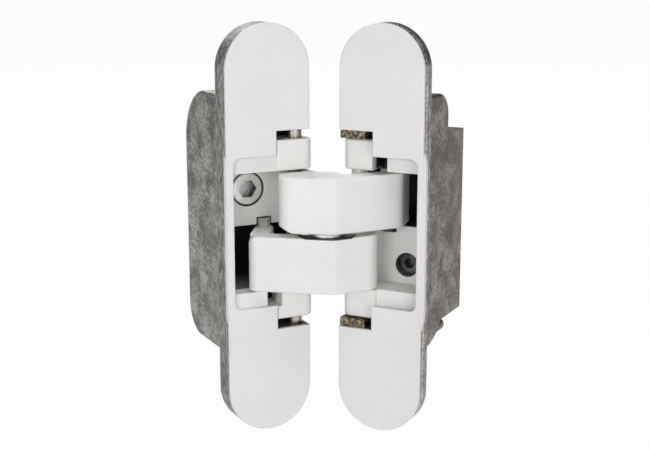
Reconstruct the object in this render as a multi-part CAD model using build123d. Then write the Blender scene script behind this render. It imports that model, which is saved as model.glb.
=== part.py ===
from build123d import *
import os
from math import asin, cos, degrees, radians, sin

# Concealed door hinge: two mortise leaves joined by a pair of crossing bent arms.
# Millimetres and degrees. The jamb leaf stands still with its plate in the XZ plane, facing -Y.
# A leaf is drawn with its inner edge at x = 0, the plate running to -x, y going into the mortise.

# Driving dimensions: leaves
plate_height = 120.0
plate_width = 26.0
cover_thickness = 1.0
cover_edge_round = 0.35
jamb_flange_thickness = 6.8
door_flange_thickness = 4.8
window_half_height = 22.2
notch_width = 10.6
cover_rim = 2.0
cover_corner_round = 2.2
jamb_lip_width = 0.3
door_lip_width = 1.0
lip_root = 0.7
lip_depth = 1.6
lip_top = 22.0
lip_bottom = -24.0
lip_top_taper = 4.0
lip_bottom_taper = 7.0
lip_round = 8.0
side_wall = 1.2
floor_thickness = 2.0
fixing_hole_spacing = 100.0
fixing_hole_radius = 2.4
fixing_head_radius = 4.6
fixing_cone_depth = 2.2

# Driving dimensions: mortise pockets, heights from the plate's middle as the hinge stands
jamb_pocket_top = 39.8
jamb_pocket_bottom = -36.3
jamb_pocket_depth = 34.7
jamb_pocket_top_round = 16.0
jamb_pocket_bottom_round = 9.0
door_pocket_top = 39.5
door_pocket_bottom = -34.5
door_pocket_depth = 21.0
door_pocket_top_round = 7.0
door_pocket_bottom_round = 14.5
door_box_top = 27.3
door_box_bottom = -28.7
door_box_depth = 34.2
door_peg_height = -31.0
door_peg_inset = 23.7
door_peg_radius = 1.9
door_peg_depth = 21.0
casting_round = 0.8

# Driving dimensions: carriages
carriage_core_end = 4.4
carriage_inset = 2.4
carriage_cover_gap = 0.2
carriage_wall_front = 6.5
ear_block_back = 15.0
carriage_wall = 1.2
cavity_mid_height = 0.2
recess_depth = 11.2
block_back = 19.7
ear_height = 9.0
jamb_ear_overhang = 1.3
door_ear_overhang = 0.5
ear_inset = 10.3
ear_front = 0.2
ear_back = 9.8
ear_nose_round = 2.6
ear_edge_round = 0.8
height_travel = 2.5
depth_travel = 1.0
door_set_back = 2.0
door_side_shift = 0.5
lug_slot_width = 2.8
lug_slot_depth = 9.0

# Driving dimensions: linkage, in the top view
rest_opening = 127.0
full_opening = 180.0
pivot_inset = 3.0
pivot_depth = 4.8
pivot_to_centre = 13.0
arm_angle_at_rest = 68.25
closed_gap = 4.0
guide_inset_at_rest = 9.6
guide_depth_at_rest = 11.7
bend_forward = 13.0
bend_sideways = 7.0
left_face_turn = 10.5
right_face_turn = 27.0
upper_pivot_reach = 8.9
upper_slide_reach = 27.4
lower_pivot_reach = 19.6
lower_slide_reach = 17.7

# Driving dimensions: arms and their pins
arm_outer_height = 16.9
arm_gap = 1.3
arm_end_gap = 0.7
arm_bend_radius = 3.0
upper_heel_radius = 4.0
lower_heel_radius = 5.0
arm_end_radius = 3.0
upper_end_flare = 2.0
upper_end_depth = 6.5
guide_boss_radius = 2.8
centre_boss_radius = 5.2
knuckle_radius = 4.3
arm_edge_round = 0.6
heel_chamfer_width = 4.0
heel_chamfer_height = 2.0
toe_corner_round = 2.5
pivot_pin_radius = 2.4
pivot_pin_chamfer = 0.4
jamb_pin_above = 5.0
jamb_pin_below = 2.0
bush_wall = 0.7
bush_length = 6.0
centre_pin_radius = 2.5
centre_pin_half_length = 13.5
centre_bush_length = 5.0
washer_radius = 5.3
guide_pin_radius = 1.3
guide_sleeve_radius = 1.9
guide_sleeve_length = 2.7
groove_mouth_shift = 1.0
groove_end_height = 5.0

# Driving dimensions: adjusters
clamp_screw_height = 11.1
clamp_screw_inset = 15.0
clamp_head_radius = 4.8
clamp_head_length = 3.6
clamp_shank_radius = 3.0
clamp_hex_flats = 5.0
clamp_hex_depth = 3.0
clamp_nut_width = 10.0
clamp_nut_height = 12.0
clamp_nut_thickness = 2.1
clamp_nut_round = 1.5
clamp_wall = 2.6
clamp_screw_end = 1.0
clamp_head_chamfer = 0.3
adjust_screw_height = 11.9
adjust_screw_inset = 15.75
adjust_head_radius = 3.5
adjust_head_length = 4.0
adjust_head_sink = 2.0
adjust_shank_radius = 2.5
adjust_hex_flats = 3.0
adjust_hex_depth = 2.2
adjust_boss_radius = 4.6
clip_radius = 4.4
clip_thickness = 0.8

# Driving dimensions: clearances
pin_clearance = 0.05
running_gap = 0.15
slot_gap = 0.25
side_gap = 0.3
overshoot = 1.0

# Worked out: places common to both leaves
jamb_seat_depth = cover_thickness + jamb_flange_thickness
carriage_front = cover_thickness + carriage_cover_gap
arm_inner_height = arm_gap / 2
arm_zone_half_height = arm_outer_height + arm_end_gap
carriage_half_height = arm_zone_half_height + ear_height
carriage_core_half_height = arm_zone_half_height + carriage_core_end
notch_half_height = carriage_half_height + height_travel + side_gap
pocket_inner_left = cover_rim - plate_width
pocket_inner_right = -(carriage_inset - running_gap)
jamb_floor = jamb_pocket_depth - floor_thickness
jamb_carriage_back = jamb_floor - running_gap
door_floor = door_box_depth - floor_thickness
door_carriage_back = door_floor - door_set_back - depth_travel - side_gap
clamp_nut_front = block_back + running_gap + clamp_wall + running_gap
guide_inner_end = guide_sleeve_length - arm_inner_height
guide_outer_end = guide_sleeve_length + arm_outer_height
door_turn = full_opening - rest_opening
pivot_in_leaf = Vector(-pivot_inset, pivot_depth)
jamb_pin_top = carriage_half_height + height_travel + jamb_pin_above
jamb_pin_bottom = -carriage_half_height - height_travel - jamb_pin_below


def direction(angle):
    return Vector(cos(radians(angle)), sin(radians(angle)))


def turned(point, angle):
    return Vector(point.X, point.Y, 0).rotate(Axis.Z, angle)


# Worked out: the linkage at rest. In this plan view y points out of the plate's face, so a
# point (x, y) of the plan lies at (x, -y) in the leaf's own frame.
plan_pivot = Vector(-pivot_inset, -pivot_depth)
plan_guide = Vector(-guide_inset_at_rest, -guide_depth_at_rest)
plan_half_gap = (closed_gap + door_set_back) / 2
arm_angle_closed = 180 - degrees(asin((pivot_depth + plan_half_gap) / pivot_to_centre))
arm_turn_ratio = (arm_angle_closed - arm_angle_at_rest) / rest_opening
plan_centre = plan_pivot + direction(arm_angle_at_rest) * pivot_to_centre
forward = direction(180 - rest_opening / 2)
sideways = direction(90 - rest_opening / 2)


def mirrored(point):
    """The same point on the other leaf: mirrored in the plane that halves the opening."""
    offset = (point - plan_centre).dot(sideways)
    return point - sideways * (2 * offset)


def guide_in_leaf(opening):
    """Where the guide pin stands in its leaf, in plan, when the door is open by this angle."""
    arm_angle = arm_angle_closed - arm_turn_ratio * opening
    centre = plan_pivot + direction(arm_angle) * pivot_to_centre
    turn = (rest_opening + arm_angle_at_rest) - (opening + arm_angle)
    return centre + turned(plan_guide - plan_centre, turn)


# Places of the pieces

def in_jamb(shape):
    return Pos(plate_width / 2, -jamb_seat_depth, 0) * shape


def from_plan(point):
    """A plan point as a vector in the finished model's frame."""
    return Vector(plate_width / 2 + point.X, -jamb_seat_depth - point.Y, 0)


jamb_pivot = from_plan(plan_pivot)
centre_point = from_plan(plan_centre)
door_pivot = from_plan(mirrored(plan_pivot))


def on_door_pivot(shape, inset, depth):
    """Places a leaf-frame shape on the door side, flipped top to bottom, by its pivot point."""
    return Pos(door_pivot) * Rot(0, 0, -door_turn) * Pos(-inset, -depth, 0) * Rot(0, 180, 0) * shape


def in_door_carriage(shape):
    return on_door_pivot(shape, pivot_inset, pivot_depth)


def in_door_leaf(shape):
    return on_door_pivot(shape, pivot_inset + door_side_shift, pivot_depth + door_set_back)


# Small shapes

def block(left, right, front, back, bottom, top):
    return Pos(left, front, bottom) * Box(
        right - left, back - front, top - bottom, align=(Align.MIN, Align.MIN, Align.MIN))


def upright(point, radius, bottom, top):
    return Pos(point.X, point.Y, bottom) * Cylinder(
        radius, top - bottom, align=(Align.CENTER, Align.CENTER, Align.MIN))


def along_depth(x, z, radius, front, back):
    """A round bar or hole that runs into the leaf."""
    return Pos(x, front, z) * Rot(-90, 0, 0) * Cylinder(
        radius, back - front, align=(Align.CENTER, Align.CENTER, Align.MIN))


def hex_along_depth(x, z, flats, front, depth):
    across_corners = flats / cos(radians(30)) / 2
    profile = RegularPolygon(across_corners, 6)
    return Pos(x, front, z) * Rot(-90, 0, 0) * extrude(profile, depth)


def upright_sheet(outline, front, back):
    """A sheet that stands in the leaf's plane, from an outline drawn across and upwards."""
    return Pos(0, back, 0) * Rot(90, 0, 0) * extrude(outline, back - front)


def pill(front, back):
    """The leaf's outline: straight sides with half-round ends, seen from the front."""
    outline = Pos(-plate_width / 2, 0) * SlotOverall(plate_height, plate_width, rotation=90)
    return upright_sheet(outline, front, back)


def band(circles):
    """The hull of a few circles in the top view, each a centre and a radius."""
    rims = [edge for centre, radius in circles for edge in (Pos(centre) * Circle(radius)).edges()]
    return make_hull(rims)


# Cover plates

def cover_plate(window_side, lip_width):
    """A pressed plate with a window for the arms, a notch for the ears and a lip down one side."""
    plate = pill(0, cover_thickness)
    plate = fillet(plate.faces().sort_by(Axis.Y)[0].edges(), cover_edge_round)
    back = cover_thickness + overshoot
    window = block(-window_side, overshoot, -overshoot, back, -window_half_height, window_half_height)
    outer_edges = window.edges().filter_by(Axis.Y).group_by(Axis.X)[0]
    window = fillet(outer_edges, cover_corner_round)
    notch = block(-notch_width, overshoot, -overshoot, back, -notch_half_height, notch_half_height)
    edge = -plate_width
    outline = Polygon((edge + lip_root, lip_top + lip_top_taper), (edge - lip_width, lip_top),
                      (edge - lip_width, lip_bottom), (edge + lip_root, lip_bottom - lip_bottom_taper),
                      align=None)
    outline = fillet(outline.vertices().group_by(Axis.X)[0], lip_round)
    lip = upright_sheet(outline, cover_edge_round, lip_depth)
    lip -= block(edge, 0, cover_thickness, lip_depth, -plate_height, plate_height)
    return plate + lip - window - notch


jamb_window_side = plate_width - cover_rim
door_window_side = jamb_window_side + door_side_shift
jamb_cover = cover_plate(jamb_window_side, jamb_lip_width)
door_cover = mirror(cover_plate(door_window_side, door_lip_width), Plane.XY)


# Mortise bodies

def cup(left, right, back, bottom, top, bottom_round, top_round):
    """The outside of a die-cast cup, with two rounded floor corners."""
    shell = block(left, right, cover_thickness, back, bottom, top)
    for end, radius in ((0, bottom_round), (-1, top_round)):
        floor = shell.faces().sort_by(Axis.Y)[-1]
        shell = fillet(floor.edges().filter_by(Axis.X).sort_by(Axis.Z)[end], radius)
    floor = shell.faces().sort_by(Axis.Y)[-1]
    return fillet(floor.edges().filter_by(Axis.Z), casting_round)


def fixing_holes(plate, back):
    """Two countersunk holes for the wood screws, under the ends of the cover."""
    for height in (-fixing_hole_spacing / 2, fixing_hole_spacing / 2):
        middle = -plate_width / 2
        plate -= along_depth(middle, height, fixing_hole_radius, 0, back + overshoot)
        cone = Cone(fixing_head_radius, fixing_hole_radius, fixing_cone_depth,
                    align=(Align.CENTER, Align.CENTER, Align.MIN))
        plate -= Pos(middle, cover_thickness, height) * Rot(-90, 0, 0) * cone
    return plate


def jamb_body():
    """A die-cast cup with a pill flange. A pad on its floor takes the clamp, with a pocket for its nut."""
    back = jamb_pocket_depth
    body = cup(pocket_inner_left - side_wall, pocket_inner_right + side_wall, back, jamb_pocket_bottom,
               jamb_pocket_top, jamb_pocket_bottom_round, jamb_pocket_top_round)
    body += pill(cover_thickness, jamb_seat_depth)
    core_half = carriage_core_half_height + height_travel + side_gap
    body -= block(pocket_inner_left, pocket_inner_right, 0, ear_block_back + side_gap,
                  -notch_half_height, notch_half_height)
    body -= block(pocket_inner_left, pocket_inner_right, 0, jamb_floor, -core_half, core_half)
    body -= block(pocket_inner_right - overshoot, overshoot, 0, recess_depth, -notch_half_height,
                  notch_half_height)
    pad_bottom = guide_inner_end + height_travel + side_gap
    pad_top = arm_zone_half_height - height_travel
    body += block(pocket_inner_left - side_wall / 2, pocket_inner_right + side_wall / 2,
                  block_back + running_gap, back - floor_thickness / 2, pad_bottom, pad_top)
    slot_half = clamp_shank_radius + height_travel + side_gap
    body -= block(-clamp_screw_inset - clamp_shank_radius - slot_gap,
                  -clamp_screw_inset + clamp_shank_radius + slot_gap, block_back, clamp_nut_front,
                  clamp_screw_height - slot_half, clamp_screw_height + slot_half)
    nut_half = clamp_nut_height / 2 + height_travel + side_gap
    body -= block(-clamp_screw_inset - clamp_nut_width / 2 - slot_gap,
                  -clamp_screw_inset + clamp_nut_width / 2 + slot_gap,
                  clamp_nut_front - running_gap, back + overshoot,
                  clamp_screw_height - nut_half, clamp_screw_height + nut_half)
    body -= upright(pivot_in_leaf, pivot_pin_radius + pin_clearance, jamb_pocket_bottom,
                    jamb_pin_top + height_travel)
    return fixing_holes(body, jamb_seat_depth)


def door_body():
    """A die-cast cup in two depths: a rounded pocket and a square box for the adjusting screw.

    The leaf is drawn upside down, so the heights are taken with the other sign."""
    left = pocket_inner_left - door_side_shift - side_wall
    right = pocket_inner_right - door_side_shift + side_wall
    body = cup(left, right, door_pocket_depth, -door_pocket_top, -door_pocket_bottom,
               door_pocket_top_round, door_pocket_bottom_round)
    box = block(left, right, cover_thickness, door_box_depth, -door_box_top, -door_box_bottom)
    body += fillet(box.faces().sort_by(Axis.Y)[-1].edges(), casting_round)
    peg = along_depth(-door_peg_inset, -door_peg_height, door_peg_radius, cover_thickness, door_peg_depth)
    body += fillet(peg.faces().sort_by(Axis.Y)[-1].edges(), casting_round)
    body += pill(cover_thickness, cover_thickness + door_flange_thickness)
    hollow_half = carriage_half_height + side_gap
    core_half = carriage_core_half_height + side_gap
    inner_left = left + side_wall
    inner_right = right - side_wall
    ear_floor = ear_block_back + door_set_back + depth_travel + side_gap
    body -= block(inner_left, inner_right, 0, ear_floor, -hollow_half, hollow_half)
    body -= block(inner_left, inner_right, 0, door_floor, -core_half, core_half)
    ear_way = ear_back + door_set_back + depth_travel + side_gap
    body -= block(inner_right - overshoot, overshoot, 0, ear_way, -hollow_half, hollow_half)
    lug_slot = block(-notch_width, -notch_width + lug_slot_width, 0, lug_slot_depth, hollow_half,
                     notch_half_height)
    body -= lug_slot + mirror(lug_slot, Plane.XY)
    screw_x = -adjust_screw_inset - door_side_shift
    boss_front = block_back + running_gap + clip_thickness + door_set_back + depth_travel + side_gap
    body += along_depth(screw_x, adjust_screw_height, adjust_boss_radius, boss_front,
                        door_box_depth - floor_thickness / 2)
    body -= along_depth(screw_x, adjust_screw_height, adjust_shank_radius + pin_clearance, boss_front,
                        door_box_depth)
    return fixing_holes(body, cover_thickness + door_flange_thickness)


# Carriages

def guide_groove(bottom, top):
    """The way of the guide pin's sleeve, cut open to the front so that the arm can be put in."""
    stops = [0, 30, 60, 90, 120, 150, full_opening]
    way = [guide_in_leaf(stop) for stop in stops]
    leaf_way = [(point.X, -point.Y) for point in way]
    mouth = (leaf_way[-1][0] - groove_mouth_shift, 0)
    path = Polyline(*leaf_way, mouth)
    outline = make_face(offset(path, guide_sleeve_radius + slot_gap, side=Side.BOTH))
    return Pos(0, 0, bottom) * extrude(outline, top - bottom)


def carriage(back, ear_overhang, screw_inset, screw_height, bore_radius, bore_sink, shank_radius):
    """A die-cast frame: two ears for the pivot pin, a half block for the screw, a cavity for an arm."""
    left = pocket_inner_left + running_gap
    right = -carriage_inset
    inner_left = left + carriage_wall
    half = carriage_half_height
    core = carriage_core_half_height
    zone = arm_zone_half_height
    body = block(left, right, carriage_front, ear_block_back, -half, half)
    body += block(left, right, carriage_front, back, -core, core)
    for foot in (zone, -half):
        ear = block(-ear_inset, ear_overhang, ear_front, ear_back, foot, foot + ear_height)
        ear = fillet(ear.edges().filter_by(Axis.Z).group_by(Axis.X)[-1], ear_nose_round)
        body += fillet(ear.faces().sort_by(Axis.Y)[0].edges(), ear_edge_round)
    body -= block(inner_left, overshoot, -overshoot, recess_depth, cavity_mid_height, zone)
    body -= block(inner_left, overshoot, -overshoot, back - carriage_wall, -zone, cavity_mid_height)
    body -= block(left, inner_left, carriage_front, carriage_wall_front, -zone, zone)
    body -= block(left, overshoot, block_back, back, cavity_mid_height, core)
    body -= guide_groove(-zone - groove_end_height, -zone)
    body -= guide_groove(cavity_mid_height, guide_inner_end + side_gap)
    body -= upright(pivot_in_leaf, pivot_pin_radius + pin_clearance, -half, half)
    body -= along_depth(-screw_inset, screw_height, bore_radius, recess_depth, recess_depth + bore_sink)
    body -= along_depth(-screw_inset, screw_height, shank_radius, recess_depth, block_back)
    return body


def pivot_pin(bottom, top):
    pin = upright(pivot_in_leaf, pivot_pin_radius, bottom, top)
    return chamfer(pin.edges().filter_by(GeomType.CIRCLE), pivot_pin_chamfer)


# Screws and nut

def clamp_screw():
    """A socket screw with a wide flat head, flush in the jamb block."""
    x = -clamp_screw_inset
    z = clamp_screw_height
    front = recess_depth
    screw = along_depth(x, z, clamp_head_radius, front, front + clamp_head_length)
    screw = chamfer(screw.faces().sort_by(Axis.Y)[0].edges(), clamp_head_chamfer)
    end = clamp_nut_front + clamp_nut_thickness + clamp_screw_end
    screw += along_depth(x, z, clamp_shank_radius, front, end)
    return screw - hex_along_depth(x, z, clamp_hex_flats, front, clamp_hex_depth)


def clamp_nut():
    """A flat clamp plate behind the mortise body's pad, drawn forward by the screw."""
    x = -clamp_screw_inset
    z = clamp_screw_height
    front = clamp_nut_front
    back = front + clamp_nut_thickness
    nut = block(x - clamp_nut_width / 2, x + clamp_nut_width / 2, front, back,
                z - clamp_nut_height / 2, z + clamp_nut_height / 2)
    nut = fillet(nut.edges().filter_by(Axis.Y), clamp_nut_round)
    return nut - along_depth(x, z, clamp_shank_radius + pin_clearance, front, back)


def adjust_screw():
    """A sunk socket screw that turns in the door block and jacks the mortise body in or out."""
    x = -adjust_screw_inset
    z = adjust_screw_height
    front = recess_depth + adjust_head_sink
    tip = door_floor - door_set_back - running_gap
    screw = along_depth(x, z, adjust_head_radius, front, front + adjust_head_length)
    screw += along_depth(x, z, adjust_shank_radius, front, tip)
    return screw - hex_along_depth(x, z, adjust_hex_flats, front, adjust_hex_depth)


def adjust_clip():
    """A snap ring behind the block that keeps the adjusting screw from being pulled out."""
    x = -adjust_screw_inset
    z = adjust_screw_height
    front = block_back + running_gap
    back = front + clip_thickness
    ring = along_depth(x, z, clip_radius, front, back)
    ring -= along_depth(x, z, adjust_shank_radius + pin_clearance, front, back)
    mouth = adjust_shank_radius * sin(radians(45))
    return ring - block(x - mouth, x + mouth, front, back, z, z + clip_radius)


# Arms. Each is a bent bar: a pivot leg from its knuckle to the bend, a slide leg on from the
# bend, and a hooked end that goes back to the guide pin behind the other leaf's pivot pin.

bend_edge = forward * bend_forward + sideways * bend_sideways
left_run = turned(sideways * -1, left_face_turn)
right_run = turned(sideways, -right_face_turn)
left_normal = turned(left_run, -90)
right_normal = turned(right_run, 90)


def behind_face(run, normal, radius, reach):
    """The centre of a rounded corner that touches a front face and reaches this far sideways."""
    start = bend_edge - normal * radius
    edge = reach - radius if run.dot(sideways) > 0 else radius - reach
    length = (edge - start.dot(sideways)) / run.dot(sideways)
    return start + run * length


def bend_centre():
    half_fold = (180 - left_face_turn - right_face_turn) / 2
    inward = (left_run + right_run).normalized()
    return bend_edge + inward * (arm_bend_radius / sin(radians(half_fold)))


def front_cut(profile, stop):
    """A cut into an arm from its front as far back as stop, drawn sideways and in height."""
    start = bend_forward + overshoot
    plane = Plane(forward * start, x_dir=sideways, z_dir=forward * -1)
    return extrude(plane * profile, start - stop)


def arm(pivot, heel, heel_radius, end, guide, bottom, cut):
    bend = bend_centre()
    outline = band([(bend, arm_bend_radius), (heel, heel_radius), (pivot, knuckle_radius)])
    outline += band([(bend, arm_bend_radius), (plan_centre, centre_boss_radius)])
    outline += band([(bend, arm_bend_radius), (end[0], arm_end_radius)])
    outline += band([(corner, arm_end_radius) for corner in end])
    outline += band([(end[-1], arm_end_radius), (guide, guide_boss_radius)])
    solid = extrude(outline, arm_height)
    ends = solid.faces().filter_by(Axis.Z).sort_by(Axis.Z)
    solid = fillet(ends[0].edges() + ends[-1].edges(), arm_edge_round) - cut
    return Pos(plate_width / 2, -jamb_seat_depth, bottom) * mirror(solid, Plane.XZ)


arm_height = arm_outer_height - arm_inner_height
upper_guide = mirrored(plan_guide)
lower_guide = plan_guide

# The upper arm's heel has a flat corner at its foot, clear of the other arm
upper_heel = behind_face(left_run, left_normal, upper_heel_radius, upper_pivot_reach)
upper_toe = behind_face(right_run, right_normal, arm_end_radius, upper_slide_reach)
flat_left = -upper_pivot_reach - heel_chamfer_width
flat_right = -upper_pivot_reach + 2 * heel_chamfer_width
heel_flat = Polygon((flat_left, -heel_chamfer_height), (flat_right, -heel_chamfer_height),
                    (flat_left, 2 * heel_chamfer_height), align=None)
heel_cut = front_cut(heel_flat, plan_pivot.dot(forward) + knuckle_radius)
upper_back_toe = upper_toe + sideways * upper_end_flare - forward * upper_end_depth
upper_arm = arm(plan_pivot, upper_heel, upper_heel_radius, [upper_toe, upper_back_toe], upper_guide,
                arm_inner_height, heel_cut)

# The lower arm's toe has a rounded top corner
lower_heel = behind_face(right_run, right_normal, lower_heel_radius, lower_pivot_reach)
lower_toe = behind_face(left_run, left_normal, arm_end_radius, lower_slide_reach)
round_middle = Pos(toe_corner_round - lower_slide_reach, arm_height - toe_corner_round)
toe_round = round_middle * Rectangle(plate_width, plate_width, align=(Align.MAX, Align.MIN))
toe_cut = front_cut(toe_round - round_middle * Circle(toe_corner_round),
                    lower_toe.dot(forward) - arm_end_radius)
lower_arm = arm(mirrored(plan_pivot), lower_heel, lower_heel_radius, [lower_toe], lower_guide,
                -arm_outer_height, toe_cut)
bush_radius = pivot_pin_radius + bush_wall
centre_bush_radius = centre_pin_radius + bush_wall
upper_arm -= upright(jamb_pivot, bush_radius, 0, arm_outer_height)
lower_arm -= upright(door_pivot, bush_radius, -arm_outer_height, 0)
upper_arm -= upright(centre_point, centre_pin_radius + pin_clearance, 0, centre_pin_half_length)
lower_arm -= upright(centre_point, centre_bush_radius, -centre_pin_half_length - pin_clearance, 0)
upper_arm -= upright(from_plan(upper_guide), guide_pin_radius, 0, arm_outer_height)
lower_arm -= upright(from_plan(lower_guide), guide_pin_radius, -arm_outer_height, 0)


def sleeves(point, inner, outer, spans):
    return [upright(point, outer, bottom, top) - upright(point, inner, bottom, top)
            for bottom, top in spans]


knuckle_spans = [(arm_inner_height, arm_inner_height + bush_length),
                 (arm_outer_height - bush_length, arm_outer_height)]
lower_knuckle_spans = [(-top, -bottom) for bottom, top in knuckle_spans]
upper_bushes = sleeves(jamb_pivot, pivot_pin_radius + pin_clearance, bush_radius, knuckle_spans)
lower_bushes = sleeves(door_pivot, pivot_pin_radius + pin_clearance, bush_radius, lower_knuckle_spans)
centre_spans = [(-arm_inner_height - centre_bush_length, -arm_inner_height),
                (-centre_pin_half_length, -centre_pin_half_length + centre_bush_length)]
centre_bushes = sleeves(centre_point, centre_pin_radius + pin_clearance, centre_bush_radius, centre_spans)
centre_pin = upright(centre_point, centre_pin_radius, -centre_pin_half_length, centre_pin_half_length)
centre_pin = chamfer(centre_pin.edges().filter_by(GeomType.CIRCLE), pivot_pin_chamfer)
washer_half = arm_inner_height - running_gap
centre_washer = sleeves(centre_point, centre_pin_radius + pin_clearance, washer_radius,
                        [(-washer_half, washer_half)])[0]


def guide_spans(sign):
    """The two ends of a guide pin that stand out of its arm, the inner one and the outer one."""
    return [sorted((arm_inner_height * sign, -guide_inner_end * sign)),
            sorted((arm_outer_height * sign, guide_outer_end * sign))]


def guide_pin(point, sign):
    low, high = sorted((-guide_inner_end * sign, guide_outer_end * sign))
    return upright(point, guide_pin_radius, low, high)


upper_guide_pin = guide_pin(from_plan(upper_guide), 1)
lower_guide_pin = guide_pin(from_plan(lower_guide), -1)
upper_sleeves = sleeves(from_plan(upper_guide), guide_pin_radius, guide_sleeve_radius, guide_spans(1))
lower_sleeves = sleeves(from_plan(lower_guide), guide_pin_radius, guide_sleeve_radius, guide_spans(-1))

# Pieces of each leaf, in place
jamb_carriage = carriage(jamb_carriage_back, jamb_ear_overhang, clamp_screw_inset, clamp_screw_height,
                         clamp_head_radius + side_gap, clamp_head_length,
                         clamp_shank_radius + pin_clearance)
door_carriage = carriage(door_carriage_back, door_ear_overhang, adjust_screw_inset, adjust_screw_height,
                         adjust_head_radius + pin_clearance, adjust_head_sink + adjust_head_length,
                         adjust_shank_radius + pin_clearance)
pieces = {
    "jamb_mortise_body": in_jamb(jamb_body()),
    "jamb_cover_plate": in_jamb(jamb_cover),
    "jamb_carriage": in_jamb(jamb_carriage),
    "jamb_pivot_pin": in_jamb(pivot_pin(jamb_pin_bottom, jamb_pin_top)),
    "jamb_clamp_screw": in_jamb(clamp_screw()),
    "jamb_clamp_nut": in_jamb(clamp_nut()),
    "upper_arm": upper_arm,
    "upper_arm_bushes": upper_bushes,
    "upper_guide_pin": upper_guide_pin,
    "upper_guide_sleeves": upper_sleeves,
    "centre_pin": centre_pin,
    "centre_washer": centre_washer,
    "lower_arm": lower_arm,
    "lower_arm_bushes": lower_bushes,
    "centre_bushes": centre_bushes,
    "lower_guide_pin": lower_guide_pin,
    "lower_guide_sleeves": lower_sleeves,
    "door_carriage": in_door_carriage(door_carriage),
    "door_pivot_pin": in_door_carriage(pivot_pin(-carriage_half_height, carriage_half_height)),
    "door_adjust_screw": in_door_carriage(adjust_screw()),
    "door_adjust_clip": in_door_carriage(adjust_clip()),
    "door_mortise_body": in_door_leaf(door_body()),
    "door_cover_plate": in_door_leaf(door_cover),
}

os.makedirs("parts", exist_ok=True)
for name, shape in pieces.items():
    solid = Compound(children=shape) if isinstance(shape, list) else shape
    export_step(solid, f"parts/{name}.step")
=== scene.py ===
from functools import partial
from math import cos, radians, sin

import bpy
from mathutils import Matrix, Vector


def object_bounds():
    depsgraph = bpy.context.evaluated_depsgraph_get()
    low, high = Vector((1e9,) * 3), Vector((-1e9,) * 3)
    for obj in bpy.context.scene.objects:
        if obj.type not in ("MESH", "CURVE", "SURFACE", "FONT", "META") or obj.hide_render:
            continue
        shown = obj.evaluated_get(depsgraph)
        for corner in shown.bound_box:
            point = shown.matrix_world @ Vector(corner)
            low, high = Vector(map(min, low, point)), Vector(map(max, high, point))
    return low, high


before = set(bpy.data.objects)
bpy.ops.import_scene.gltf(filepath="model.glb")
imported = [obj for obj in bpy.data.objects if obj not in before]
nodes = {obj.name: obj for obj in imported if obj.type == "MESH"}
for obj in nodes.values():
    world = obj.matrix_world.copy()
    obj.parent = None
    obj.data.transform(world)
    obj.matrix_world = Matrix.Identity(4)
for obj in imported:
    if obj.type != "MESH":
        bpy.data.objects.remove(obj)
cad_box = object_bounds()


# Mortise bodies: two zinc die castings left raw, as they came out of the die. Their skin is mottled
# grey with fine scratches and stains of the die lubricant, and their flanges are rubbed bright in
# streaks by the trimming, with painted highlights among the streaks and a painted glint along the
# front rim. Corners are darkened with painted shade and edges lightened with painted highlights.
# They are screwed into the jamb and the door's edge under the cover plates.

def linear(colour):
    """An sRGB hex colour as linear red, green, blue and alpha."""
    channels = [int(colour[i:i + 2], 16) / 255 for i in (1, 3, 5)]
    return [c / 12.92 if c <= 0.04045 else ((c + 0.055) / 1.055) ** 2.4 for c in channels] + [1.0]


def add_node(material, kind, inputs=None, output=0, stops=(), **settings):
    """Adds a node, sets it up, links or fills its inputs, and gives one of its outputs."""
    made = material.node_tree.nodes.new(kind)
    for name, value in settings.items():
        setattr(made, name, value)
    for socket, value in (inputs or {}).items():
        if isinstance(value, bpy.types.NodeSocket):
            material.node_tree.links.new(value, made.inputs[socket])
        else:
            made.inputs[socket].default_value = value
    for index, (position, colour) in enumerate(stops):
        elements = made.color_ramp.elements
        element = elements[index] if index < len(elements) else elements.new(position)
        element.position = position
        element.color = linear(colour)
    return made.outputs[output] if made.outputs else None


def new_material(name):
    """A material with no nodes yet."""
    material = bpy.data.materials.new(name)
    material.use_nodes = True
    material.node_tree.nodes.clear()
    return material


def finish_material(material, **inputs):
    """Closes a material with its shader: each input is a value or another node's output."""
    sockets = {name.replace("_", " "): value for name, value in inputs.items()}
    surface = add_node(material, "ShaderNodeBsdfPrincipled", sockets)
    add_node(material, "ShaderNodeOutputMaterial", {"Surface": surface})
    return material


def per_metre(millimetres):
    """The texture scale that makes marks about this many millimetres across."""
    return 1000.0 / millimetres


def shut_in(material, reach_mm):
    """How shut in a point is: 0 on an open face, 1 deep in a corner or a socket. Materials paint shade
    by it.
    """
    open_air, closed_air = 0.85, 0.25
    air = add_node(material, "ShaderNodeAmbientOcclusion", {"Distance": reach_mm / 1000}, "AO", samples=6)
    return add_node(material, "ShaderNodeMapRange", {
        "Value": air, "From Min": open_air, "From Max": closed_air})


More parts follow.
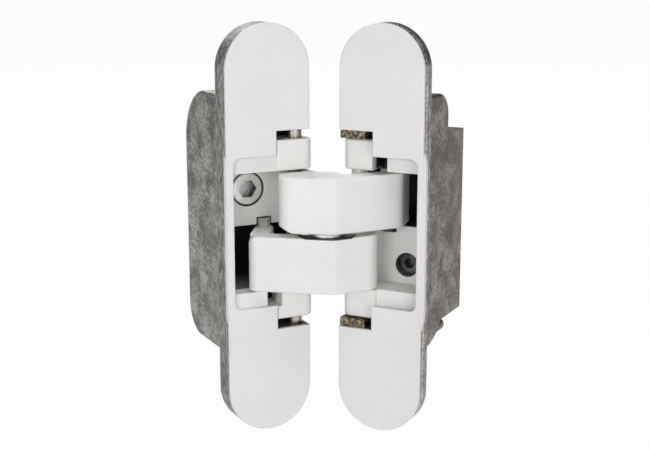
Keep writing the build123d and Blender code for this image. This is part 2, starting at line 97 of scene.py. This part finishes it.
def raw_zinc(name, skin, stain, offset, depth_way, flange, rub_and_sheen_share, rim_glint_share, flange_grain):
    """Raw die-cast zinc under a dull oxide. skin gives its dark, middle and pale greys, stain the
    lubricant's tint, and flange where the trimmed flange starts and ends along depth_way. rub_and_sheen_share
    is how much of the flange is worn bright in lines, whose palest stops are partly painted
    highlights, and flange_grain its roughness against the skin's. rim_glint_share is how much of its front
    rim carries painted glints: near-white spots, drawn less metallic so that they stay bright.
    Corners and hollows are darkened with painted shade, and edges lightened with painted highlights.
    Scratches and pits are drawn coarser than they are, so that they show."""
    cloud_mm, mottle_mm, stain_mm, pit_mm, scratch_mm, rub_mm = 7.0, 0.9, 15.0, 0.7, 0.5, 0.8
    corner_mm, edge_mm, flange_edge, rim_gap, rim_width = 4.0, 0.35, 0.0003, 0.0009, 0.0011
    cloud_weight, stain_share, pit_share, scratch_share = 0.75, 0.5, 0.8, 0.5
    corner_shade_share, edge_highlight_share, skin_metallic, glint_metallic = 0.8, 0.6, 0.75, 0.1
    draw_tilt, draw_stretch, bump_share, bump_height = radians(14), 0.25, 0.3, 0.00015
    dark, middle, pale = skin
    flange_front, flange_end = flange
    material = new_material(name)
    node = partial(add_node, material)
    place = node("ShaderNodeTexCoord", output="Object")
    moved = node("ShaderNodeMapping", {"Vector": place, "Location": offset})
    drawn = node("ShaderNodeMapping", {
        "Vector": moved, "Rotation": (draw_tilt, draw_tilt, 0), "Scale": (1, 1, draw_stretch)})
    clouds = node("ShaderNodeTexNoise", {
        "Vector": moved, "Scale": per_metre(cloud_mm), "Detail": 7.0, "Roughness": 0.62})
    mottle = node("ShaderNodeTexNoise", {
        "Vector": moved, "Scale": per_metre(mottle_mm), "Detail": 5.0, "Roughness": 0.75})
    stains = node("ShaderNodeTexNoise", {
        "Vector": moved, "Scale": per_metre(stain_mm), "Detail": 4.0, "Roughness": 0.6})
    pits = node("ShaderNodeTexNoise", {
        "Vector": moved, "Scale": per_metre(pit_mm), "Detail": 2.0, "Roughness": 0.5})
    scratches = node("ShaderNodeTexNoise", {
        "Vector": drawn, "Scale": per_metre(scratch_mm), "Detail": 3.0, "Roughness": 0.6})
    rubs = node("ShaderNodeTexNoise", {
        "Vector": drawn, "Scale": per_metre(rub_mm), "Detail": 5.0, "Roughness": 0.7})

    tone = node("ShaderNodeMath", {0: clouds, 1: cloud_weight, 2: mottle}, operation="MULTIPLY_ADD")
    level = node("ShaderNodeMapRange", {"Value": tone, "From Min": 0.75, "From Max": 1.0})
    colour = node("ShaderNodeValToRGB", {"Fac": level}, stops=[(0.1, dark), (0.5, middle), (0.9, pale)])
    stained = node("ShaderNodeMapRange", {
        "Value": stains, "From Min": 0.46, "From Max": 0.66, "To Max": stain_share})
    colour = node("ShaderNodeMixRGB", {"Fac": stained, "Color1": colour, "Color2": linear(stain)})
    pitted = node("ShaderNodeMapRange", {
        "Value": pits, "From Min": 0.55, "From Max": 0.68, "To Max": pit_share})
    colour = node("ShaderNodeMixRGB", {"Fac": pitted, "Color1": colour, "Color2": linear(dark)})
    scored = node("ShaderNodeMapRange", {
        "Value": scratches, "From Min": 0.54, "From Max": 0.72, "To Max": scratch_share})
    colour = node("ShaderNodeMixRGB", {"Fac": scored, "Color1": colour, "Color2": linear(pale)})

    depth = node("ShaderNodeVectorMath", {0: place, 1: depth_way}, "Value", operation="DOT_PRODUCT")
    on_flange = node("ShaderNodeMapRange", {
        "Value": depth, "From Min": flange_end, "From Max": flange_end - flange_edge})
    # The flange's streaks are rubbed metal, and their palest stops are partly painted highlights.
    patchy = node("ShaderNodeMapRange", {
        "Value": clouds, "From Min": 0.3, "From Max": 0.6, "To Min": 0.3, "To Max": rub_and_sheen_share})
    rub_and_sheen_mask = node("ShaderNodeMath", {0: on_flange, 1: patchy}, operation="MULTIPLY")
    rub_streaks_and_sheen = node("ShaderNodeValToRGB", {"Fac": rubs}, stops=[
        (0.36, "#3a3835"), (0.5, middle), (0.58, pale), (0.68, "#dcdad6")])
    colour = node("ShaderNodeMixRGB", {"Fac": rub_and_sheen_mask, "Color1": colour, "Color2": rub_streaks_and_sheen})
    # Painted glints: near-white spots along the flange's front rim, drawn less metallic so that they stay
    # bright.
    rim_start = flange_front + rim_gap
    rim_end = rim_start + rim_width
    past_gap = node("ShaderNodeMapRange", {
        "Value": depth, "From Min": rim_start - flange_edge, "From Max": rim_start})
    on_rim = node("ShaderNodeMapRange", {
        "Value": depth, "From Min": rim_end, "From Max": rim_end - flange_edge})
    on_rim = node("ShaderNodeMath", {0: on_rim, 1: past_gap}, operation="MULTIPLY")
    glint_spots = node("ShaderNodeMapRange", {
        "Value": mottle, "From Min": 0.46, "From Max": 0.56, "To Max": rim_glint_share})
    painted_rim_glint = node("ShaderNodeMath", {0: on_rim, 1: glint_spots}, operation="MULTIPLY")
    colour = node("ShaderNodeMixRGB", {"Fac": painted_rim_glint, "Color1": colour, "Color2": linear("#f6f5f2")})
    metallic = node("ShaderNodeMapRange", {
        "Value": painted_rim_glint, "To Min": skin_metallic, "To Max": glint_metallic})

    # Painted shade: corners and hollows darkened towards near black by how shut in they are.
    corner_shade = node("ShaderNodeMath", {0: shut_in(material, corner_mm), 1: corner_shade_share}, operation="MULTIPLY")
    colour = node("ShaderNodeMixRGB", {"Fac": corner_shade, "Color1": colour, "Color2": linear("#24221f")})
    rounded = node("ShaderNodeBevel", {"Radius": edge_mm / 1000}, samples=4)
    facing = node("ShaderNodeNewGeometry", output="Normal")
    flatness = node("ShaderNodeVectorMath", {0: rounded, 1: facing}, "Value", operation="DOT_PRODUCT")
    # Painted highlight: edges, where the softened normal turns away from the face's, are lightened.
    painted_edge_highlight = node("ShaderNodeMapRange", {
        "Value": flatness, "From Min": 0.99, "From Max": 0.85, "To Max": edge_highlight_share})
    colour = node("ShaderNodeMixRGB", {"Fac": painted_edge_highlight, "Color1": colour, "Color2": linear("#d3d1cc")})

    coarse = node("ShaderNodeMapRange", {"Value": on_flange, "To Min": 1.0, "To Max": flange_grain})
    grain = node("ShaderNodeMath", {0: mottle, 1: coarse}, operation="MULTIPLY")
    roughness = node("ShaderNodeMapRange", {
        "Value": grain, "From Min": 0.2, "From Max": 0.7, "To Min": 0.24, "To Max": 0.56})
    bump = node("ShaderNodeBump", {
        "Height": tone, "Strength": bump_share, "Distance": bump_height, "Normal": rounded})
    return finish_material(material, Base_Color=colour, Metallic=metallic, Roughness=roughness, Normal=bump)


def wear(node, material):
    """Gives a CAD node its finish."""
    for slot in nodes[node].material_slots:
        slot.material = material


door_turn = radians(53)  # how far the door leaf is turned from the jamb leaf's plane, as stored
jamb_depth_way = (0, 1, 0)
door_depth_way = (sin(door_turn), cos(door_turn), 0)
jamb_flange, door_flange = (-0.0068, 0.0), (0.00904, 0.01384)
jamb_zinc = raw_zinc(
    "raw_zinc_casting_jamb", skin=("#454844", "#7f807a", "#b2b4b1"), stain="#7b7562", offset=(0, 0, 0),
    depth_way=jamb_depth_way, flange=jamb_flange, rub_and_sheen_share=0.9, rim_glint_share=0.2, flange_grain=1.4)
door_zinc = raw_zinc(
    "raw_zinc_casting_door", skin=("#3a3531", "#6f6862", "#a09a92"), stain="#655344", offset=(0.3, 0.1, 0.2),
    depth_way=door_depth_way, flange=door_flange, rub_and_sheen_share=1.0, rim_glint_share=0.7, flange_grain=0.45)
wear("jamb_mortise_body", jamb_zinc)
wear("door_mortise_body", door_zinc)


# The door casting's two lugs: part of the same casting, they show between the cover plate and the
# ears. They are sawn off at the gate where the metal ran in, and are left coarse and brassy brown. The
# limits below mark them out on the casting, in metres along the door leaf's own ways.

def lay_over(material, share, over):
    """Lays a colour over a finished material's own, by a share."""
    shader = next(n for n in material.node_tree.nodes if n.type == "BSDF_PRINCIPLED")
    under = shader.inputs["Base Color"].links[0].from_socket
    mixed = add_node(material, "ShaderNodeMixRGB", {"Fac": share, "Color1": under, "Color2": over})
    material.node_tree.links.new(mixed, shader.inputs["Base Color"])


def inside_limits(material, limits):
    """1 where each value is below its limit, else 0, with a soft edge of a tenth of a millimetre."""
    edge = 0.0001
    share = 1.0
    for value, limit in limits:
        below = add_node(material, "ShaderNodeMapRange", {
            "Value": value, "From Min": limit + edge, "From Max": limit})
        share = add_node(material, "ShaderNodeMath", {0: share, 1: below}, operation="MULTIPLY")
    return share


lug_middle, lug_half_height, lug_width_end, lug_depth_end = 0.02815, 0.00155, 0.033, 0.0176
saw_mm = 0.9
door_node = partial(add_node, door_zinc)
door_width_way = (cos(door_turn), -sin(door_turn), 0)
lug_place = door_node("ShaderNodeTexCoord", output="Object")
lug_width = door_node("ShaderNodeVectorMath", {0: lug_place, 1: door_width_way}, "Value",
                      operation="DOT_PRODUCT")
lug_depth = door_node("ShaderNodeVectorMath", {0: lug_place, 1: door_depth_way}, "Value",
                      operation="DOT_PRODUCT")
lug_height = door_node("ShaderNodeSeparateXYZ", {"Vector": lug_place}, "Z")
lug_height = door_node("ShaderNodeMath", {0: lug_height}, operation="ABSOLUTE")
lug_offset = door_node("ShaderNodeMath", {0: lug_height, 1: lug_middle}, operation="SUBTRACT")
lug_offset = door_node("ShaderNodeMath", {0: lug_offset}, operation="ABSOLUTE")
saw_marks = door_node("ShaderNodeTexNoise", {
    "Vector": lug_place, "Scale": per_metre(saw_mm), "Detail": 5.0, "Roughness": 0.75})
sawn = door_node("ShaderNodeValToRGB", {"Fac": saw_marks}, stops=[
    (0.38, "#211e18"), (0.5, "#6b6250"), (0.62, "#b5a988")])
lay_over(door_zinc, inside_limits(door_zinc, [
    (lug_offset, lug_half_height), (lug_width, lug_width_end), (lug_depth, lug_depth_end)]), sawn)


# Cover plates: thin white plates that snap over the castings' flanges and hide the fixing screws.
# They are powder coated: satin, every edge softened, with a slight orange peel where it has flowed.

def white_coat(name, thick, thin):
    """Satin powder coat with an orange-peel surface, a little greyer where it lies thin. The peel
    is drawn at about twice its real size, so that it shows."""
    peel_mm, patch_mm, edge_mm = 0.9, 14.0, 0.4
    material = new_material(name)
    node = partial(add_node, material)
    place = node("ShaderNodeTexCoord", output="Object")
    peel = node("ShaderNodeTexNoise", {
        "Vector": place, "Scale": per_metre(peel_mm), "Detail": 2.0, "Roughness": 0.45})
    patches = node("ShaderNodeTexNoise", {
        "Vector": place, "Scale": per_metre(patch_mm), "Detail": 2.0, "Roughness": 0.5})
    coat = node("ShaderNodeValToRGB", {"Fac": patches}, stops=[(0.3, thin), (0.7, thick)])
    roughness = node("ShaderNodeMapRange", {
        "Value": peel, "From Min": 0.3, "From Max": 0.7, "To Min": 0.38, "To Max": 0.5})
    rounded = node("ShaderNodeBevel", {"Radius": edge_mm / 1000}, samples=4)
    bump = node("ShaderNodeBump", {"Height": peel, "Strength": 0.12, "Distance": 0.00006, "Normal": rounded})
    return finish_material(material, Base_Color=coat, Roughness=roughness, Normal=bump)


cover_white = white_coat("white_powder_coat_cover", "#ebe9ea", "#e6e4e5")
wear("jamb_cover_plate", cover_white)
wear("door_cover_plate", cover_white)


# Carriages: zinc castings that hold the pivot pins in their ears and take the arms' ends in a deep
# cavity. They are coated white where the powder could reach, and are bare deeper in and in the
# drilled bores. The bare metal deep in is drawn near black as painted shade, the milled guide grooves
# nearly black as painted shade, and the floor of the jamb's cavity grey, partly as painted shade.
casting_thick, casting_thin = "#eeedeb", "#e8e7e5"


def from_axis(material, place, point, way):
    """How far a point lies from an axis, in metres."""
    reach = add_node(material, "ShaderNodeVectorMath", {0: place, 1: point}, operation="SUBTRACT")
    across = add_node(material, "ShaderNodeVectorMath", {0: reach, 1: way}, operation="CROSS_PRODUCT")
    return add_node(material, "ShaderNodeVectorMath", {0: across}, "Value", operation="LENGTH")


def bare_metal_or_painted_shade(material, dark, pale):
    """The mottled grey of metal that the powder doesn't cover, also drawn darker as painted shade in
    grooves, cavities, sockets and gaps.
    """
    mottle_mm = 0.9
    place = add_node(material, "ShaderNodeTexCoord", output="Object")
    mottle = add_node(material, "ShaderNodeTexNoise", {
        "Vector": place, "Scale": per_metre(mottle_mm), "Detail": 5.0, "Roughness": 0.75})
    return add_node(material, "ShaderNodeValToRGB", {"Fac": mottle}, stops=[(0.38, dark), (0.62, pale)])


def coated_carriage(name, depth_way, coat_end, groove_shade_from, bore_at, bore_radius):
    """A carriage's white coat, which fades out with the depth along depth_way into uncoated metal drawn
    dark as painted shade. It stops at the bore, and earlier above and below the arms, where the
    machined guide grooves are drawn nearly black as painted shade."""
    fade, groove_fade, groove_height = 0.0015, 0.002, 0.01785
    material = white_coat(name, casting_thick, casting_thin)
    node = partial(add_node, material)
    place = node("ShaderNodeTexCoord", output="Object")
    depth = node("ShaderNodeVectorMath", {0: place, 1: depth_way}, "Value", operation="DOT_PRODUCT")
    # Painted shade: past the coat's end, the uncoated metal deep in the carriage is drawn near black.
    bare_and_painted_shade = node("ShaderNodeMapRange", {"Value": depth, "From Min": coat_end, "From Max": coat_end + fade})
    lay_over(material, bare_and_painted_shade, bare_metal_or_painted_shade(material, "#2f2f32", "#454548"))
    height = node("ShaderNodeSeparateXYZ", {"Vector": place}, "Z")
    height = node("ShaderNodeMath", {0: height}, operation="ABSOLUTE")
    beyond_arms = node("ShaderNodeMath", {0: height, 1: groove_height}, operation="GREATER_THAN")
    # Painted shade: the guide grooves above and below the arms are drawn nearly black.
    painted_groove_shade = node("ShaderNodeMapRange", {
        "Value": depth, "From Min": groove_shade_from, "From Max": groove_shade_from + groove_fade})
    painted_groove_shade = node("ShaderNodeMath", {0: painted_groove_shade, 1: beyond_arms}, operation="MULTIPLY")
    lay_over(material, painted_groove_shade, bare_metal_or_painted_shade(material, "#242426", "#343436"))
    radius = from_axis(material, place, bore_at, depth_way)
    in_bore = inside_limits(material, [(radius, bore_radius)])
    lay_over(material, in_bore, bare_metal_or_painted_shade(material, "#5f5f5d", "#7f7f7d"))
    return material


clamp_screw_at, clamp_bore_radius = (-0.002, 0.0034, 0.0111), 0.0052
adjust_screw_at, adjust_bore_radius = (0.040144, -0.017986, -0.0119), 0.00365
# Where the coat ends and the grooves' painted shade starts, in metres along each leaf's depth way.
jamb_coat_end, door_coat_end = 0.0037, 0.02154
jamb_groove_shade_from, door_groove_shade_from = 0.0012, 0.01254
jamb_coat = coated_carriage("white_powder_coat_jamb_carriage", jamb_depth_way, jamb_coat_end,
                            jamb_groove_shade_from, clamp_screw_at, clamp_bore_radius)
door_coat = coated_carriage("white_powder_coat_door_carriage", door_depth_way, door_coat_end,
                            door_groove_shade_from, adjust_screw_at, adjust_bore_radius)
cavity_floor, floor_band, floor_front, jamb_front_way = -0.0176, 0.00012, 0.0015, (0, -1, 0)
jamb_node = partial(add_node, jamb_coat)
jamb_place = jamb_node("ShaderNodeTexCoord", output="Object")
jamb_height = jamb_node("ShaderNodeSeparateXYZ", {"Vector": jamb_place}, "Z")
from_floor = jamb_node("ShaderNodeMath", {0: jamb_height, 1: cavity_floor}, operation="SUBTRACT")
from_floor = jamb_node("ShaderNodeMath", {0: from_floor}, operation="ABSOLUTE")
jamb_front = jamb_node("ShaderNodeVectorMath", {0: jamb_place, 1: jamb_front_way}, "Value",
                       operation="DOT_PRODUCT")
# The floor of the jamb's cavity near the front: bare zinc, drawn mid grey, partly as painted shade.
lay_over(jamb_coat, inside_limits(jamb_coat, [(from_floor, floor_band), (jamb_front, floor_front)]),
         bare_metal_or_painted_shade(jamb_coat, "#5a5a5d", "#7a7a7d"))
wear("jamb_carriage", jamb_coat)
wear("door_carriage", door_coat)


# Pivot pins, centre pin and guide pins: ground steel dowels, with fine rings left by the wheel and
# a trace of brown assembly grease. They are held in the carriages' ears and in the arms. The door's
# pin is drawn near white, less metallic and with little painted shade, as a painted highlight, so
# that it shows bright under the upper ear.

def ringed_steel(name, clean, greased, rings, socket_shade_share, metallic):
    """Bright steel with fine rings and thin grease. rings gives a place that changes from one ring
    to the next, and socket_shade_share is how much painted shade darkens its sockets and corners."""
    grease_mm, socket_mm, ring_mm = 3.0, 1.6, 1.0
    material = new_material(name)
    node = partial(add_node, material)
    place = node("ShaderNodeTexCoord", output="Object")
    ring = node("ShaderNodeTexNoise", {
        "Vector": rings(material, place), "Scale": per_metre(ring_mm), "Detail": 3.0, "Roughness": 0.6})
    grease = node("ShaderNodeTexNoise", {
        "Vector": place, "Scale": per_metre(grease_mm), "Detail": 3.0, "Roughness": 0.6})
    steel = node("ShaderNodeValToRGB", {"Fac": grease}, stops=[(0.35, greased), (0.6, clean)])
    # Painted shade: sockets and corners darkened towards near black by how shut in they are.
    socket_shade = node("ShaderNodeMath", {0: shut_in(material, socket_mm), 1: socket_shade_share}, operation="MULTIPLY")
    steel = node("ShaderNodeMixRGB", {"Fac": socket_shade, "Color1": steel, "Color2": linear("#161616")})
    roughness = node("ShaderNodeMapRange", {
        "Value": ring, "From Min": 0.3, "From Max": 0.7, "To Min": 0.18, "To Max": 0.36})
    bump = node("ShaderNodeBump", {"Height": ring, "Strength": 0.1, "Distance": 0.00003})
    return finish_material(material, Base_Color=steel, Metallic=metallic, Roughness=roughness, Normal=bump)


def rings_up_a_pin(material, place):
    """Rings up an upright pin, about a third of a millimetre apart. That is coarser than a wheel
    leaves them, so that they show."""
    around, rings_per_mm = 0.15, 3.0
    return add_node(material, "ShaderNodeMapping", {"Vector": place, "Scale": (around, around, rings_per_mm)})


pin_steel = ringed_steel("ground_steel_pin", clean="#c3bfb7", greased="#a08f7c", rings=rings_up_a_pin,
                         socket_shade_share=0.9, metallic=1.0)
for pin in ("jamb_pivot_pin", "centre_pin", "upper_guide_pin", "lower_guide_pin"):
    wear(pin, pin_steel)
# Painted highlight: the door's pin, a brighter copy of the same ground steel.
wear("door_pivot_pin", ringed_steel("steel_pin_painted_highlight", clean="#f2f2f0", greased="#e0e0dd",
                                    rings=rings_up_a_pin, socket_shade_share=0.1, metallic=0.4))


# Clamp screw and its nut plate: zinc-plated steel, pale and slightly milky, with turning marks on
# the head around a 5 mm hex socket whose walls are drawn dark as painted shade. The screw draws the
# nut up behind the mortise floor, and so holds the jamb carriage at its height.

def rings_about(point, way, material, place):
    """Rings about an eighth of a millimetre apart, around a screw's axis."""
    rings_per_mm = 8.0
    radius = from_axis(material, place, point, way)
    radius = add_node(material, "ShaderNodeMath", {0: radius, 1: rings_per_mm}, operation="MULTIPLY")
    return add_node(material, "ShaderNodeCombineXYZ", {"X": radius})


screw_plate = ringed_steel("zinc_plated_steel", clean="#f0f2ee", greased="#e2e4e0",
                           rings=partial(rings_about, clamp_screw_at, jamb_depth_way),
                           socket_shade_share=0.2, metallic=0.7)
socket_corner, wall_tilt = 0.003, 0.5
screw_node = partial(add_node, screw_plate)
screw_place = screw_node("ShaderNodeTexCoord", output="Object")
screw_facing = screw_node("ShaderNodeTexCoord", output="Normal")
screw_radius = from_axis(screw_plate, screw_place, clamp_screw_at, jamb_depth_way)
endwise = screw_node("ShaderNodeVectorMath", {0: screw_facing, 1: jamb_depth_way}, "Value",
                     operation="DOT_PRODUCT")
endwise = screw_node("ShaderNodeMath", {0: endwise}, operation="ABSOLUTE")
# Painted shade: the socket's walls, which face across the screw's axis, drawn near black.
lay_over(screw_plate, inside_limits(screw_plate, [(screw_radius, socket_corner), (endwise, wall_tilt)]),
         bare_metal_or_painted_shade(screw_plate, "#1c2123", "#2a2f31"))
wear("jamb_clamp_screw", screw_plate)
wear("jamb_clamp_nut", screw_plate)


# Arms: the two bent zinc castings that cross on the centre pin, in the same warm white coat as the
# carriages. The faces that run on the washer are machined bare around the pin, and drawn dark there,
# partly as painted shade of the narrow gap between the arms.
centre_pin_at, boss_radius, boss_half_gap = (0.014817, -0.015075, 0.0), 0.0084, 0.0008
arm_white = white_coat("white_powder_coat_arm", casting_thick, casting_thin)
arm_node = partial(add_node, arm_white)
up_way = (0, 0, 1)
arm_place = arm_node("ShaderNodeTexCoord", output="Object")
arm_height = arm_node("ShaderNodeSeparateXYZ", {"Vector": arm_place}, "Z")
arm_height = arm_node("ShaderNodeMath", {0: arm_height}, operation="ABSOLUTE")
arm_radius = from_axis(arm_white, arm_place, centre_pin_at, up_way)
# Bare machined faces around the centre pin, drawn dark, partly as painted shade of the gap between the arms.
lay_over(arm_white, inside_limits(arm_white, [(arm_height, boss_half_gap), (arm_radius, boss_radius)]),
         bare_metal_or_painted_shade(arm_white, "#474541", "#63615d"))
wear("upper_arm", arm_white)
wear("lower_arm", arm_white)


# Washer between the arms: a thin ring stamped from steel sheet and polished, which lies loose on the
# centre pin and keeps the arms' faces apart.
wear("centre_washer", ringed_steel("polished_steel_washer", clean="#f2f2f1", greased="#dededc",
                                   rings=rings_up_a_pin, socket_shade_share=0.3, metallic=0.85))


# Bushes and guide sleeves: moulded acetal rings. The bushes are pressed into the arms, and the sleeves
# are slipped on the guide pins and run in the carriages' grooves. The bushes are dark. The sleeves are
# one part: the lower ones are grey, whose grey end shows in the small notch of the jamb carriage, and
# the upper ones are drawn in the dark acetal as painted shade.

def acetal(name, clear, cloudy):
    """Moulded acetal: smooth and waxy, with a faint cloudiness."""
    cloud_mm = 1.5
    material = new_material(name)
    node = partial(add_node, material)
    place = node("ShaderNodeTexCoord", output="Object")
    cloud = node("ShaderNodeTexNoise", {
        "Vector": place, "Scale": per_metre(cloud_mm), "Detail": 2.0, "Roughness": 0.5})
    tint = node("ShaderNodeValToRGB", {"Fac": cloud}, stops=[(0.35, cloudy), (0.65, clear)])
    roughness = node("ShaderNodeMapRange", {
        "Value": cloud, "From Min": 0.3, "From Max": 0.7, "To Min": 0.32, "To Max": 0.45})
    return finish_material(material, Base_Color=tint, Roughness=roughness, IOR=1.48)


dark_acetal_and_painted_shade = acetal("moulded_acetal_dark", "#404143", "#353638")
# The upper guide sleeves take the dark acetal as painted shade; they are the same part as the grey lower
# sleeves.
for bush in ("upper_arm_bushes", "lower_arm_bushes", "centre_bushes", "upper_guide_sleeves"):
    wear(bush, dark_acetal_and_painted_shade)
wear("lower_guide_sleeves", acetal("moulded_acetal_grey", "#b8b9b6", "#a6a7a4"))


# Adjusting screw and its snap ring: blackened steel with turning marks on the head. The screw is sunk
# in the door carriage's block, where the ring on its shank holds it, and it runs into a boss of the
# casting behind.
black_steel = ringed_steel("black_oxide_steel", clean="#6a6a67", greased="#464643",
                           rings=partial(rings_about, adjust_screw_at, door_depth_way),
                           socket_shade_share=0.9, metallic=1.0)
wear("door_adjust_screw", black_steel)
wear("door_adjust_clip", black_steel)


# Studio: a pale floor that runs out of view under the hinge, a dim white surround, and soft lamps to
# the left, in front, above and behind, so that no side is left dark. The floor glows white to the eye
# and in reflections, and is plain paint for the light that it throws back.
floor_size = 14.0
floor_gap = 0.003  # the leaf that hangs lower by the height adjustment stays clear of the floor
floor_glow, surround_strength = 0.97, 0.21
bpy.ops.object.select_all(action="DESELECT")
bpy.ops.mesh.primitive_plane_add(size=floor_size, location=(0, 0, cad_box[0][2] - floor_gap))
floor = bpy.context.active_object
floor.name = "studio_floor"
floor_white = new_material("white_studio_floor")
floor_node = partial(add_node, floor_white)
seen = floor_node("ShaderNodeMath", {
    0: floor_node("ShaderNodeLightPath", output="Is Camera Ray"),
    1: floor_node("ShaderNodeLightPath", output="Is Glossy Ray")}, operation="MAXIMUM")
seen = floor_node("ShaderNodeMath", {
    0: seen, 1: floor_node("ShaderNodeLightPath", output="Is Transmission Ray")}, operation="MAXIMUM")
glow_share = floor_node("ShaderNodeMath", {0: seen, 1: floor_glow}, operation="MULTIPLY")
paint = floor_node("ShaderNodeBsdfDiffuse", {"Color": linear("#f6f6f6")})
glow = floor_node("ShaderNodeEmission", {"Color": linear("#ffffff"), "Strength": 1.0})
surface = floor_node("ShaderNodeMixShader", {0: glow_share, 1: paint, 2: glow})
floor_node("ShaderNodeOutputMaterial", {"Surface": surface})
floor.data.materials.append(floor_white)

scene = bpy.context.scene
scene.view_settings.view_transform = "Standard"
world = bpy.data.worlds.new("studio_surround")
world.use_nodes = True
surround = world.node_tree.nodes["Background"]
surround.inputs["Color"].default_value = linear("#ffffff")
surround.inputs["Strength"].default_value = surround_strength
scene.world = world


def soft_lamp(name, place, size, watts):
    """A square soft box that shines at the hinge."""
    hinge_middle = Vector((0.02, -0.01, 0.0))
    data = bpy.data.lights.new(name, "AREA")
    data.size = size
    data.energy = watts
    lamp = bpy.data.objects.new(name, data)
    scene.collection.objects.link(lamp)
    lamp.location = place
    lamp.rotation_euler = (hinge_middle - lamp.location).to_track_quat("-Z", "Y").to_euler()


soft_lamp("lamp_left", place=(-0.75, -0.7, 0.2), size=0.4, watts=3.2)
soft_lamp("lamp_front", place=(0.0, -1.1, 0.15), size=0.4, watts=2.5)
soft_lamp("lamp_above", place=(0.0, -0.3, 1.0), size=0.5, watts=3.6)
soft_lamp("lamp_back", place=(0.1, 0.8, 0.6), size=0.6, watts=4.0)


# Camera: at the photograph's place, worked out from the hinge's outlines there. It has a long lens and
# stands a little above the hinge and to its left.
camera_pitch, camera_yaw = 12.442, 26.775
camera_lens, camera_sensor, camera_place = 69.139, 36.0, (-0.14414, -0.32896, 0.07984)
camera_data = bpy.data.cameras.new("photo_camera")
camera_data.sensor_width = camera_sensor
camera_data.lens = camera_lens
camera = bpy.data.objects.new("photo_camera", camera_data)
camera.location = camera_place
camera.rotation_euler = (radians(90 - camera_pitch), 0.0, radians(-camera_yaw))
scene.collection.objects.link(camera)
scene.camera = camera
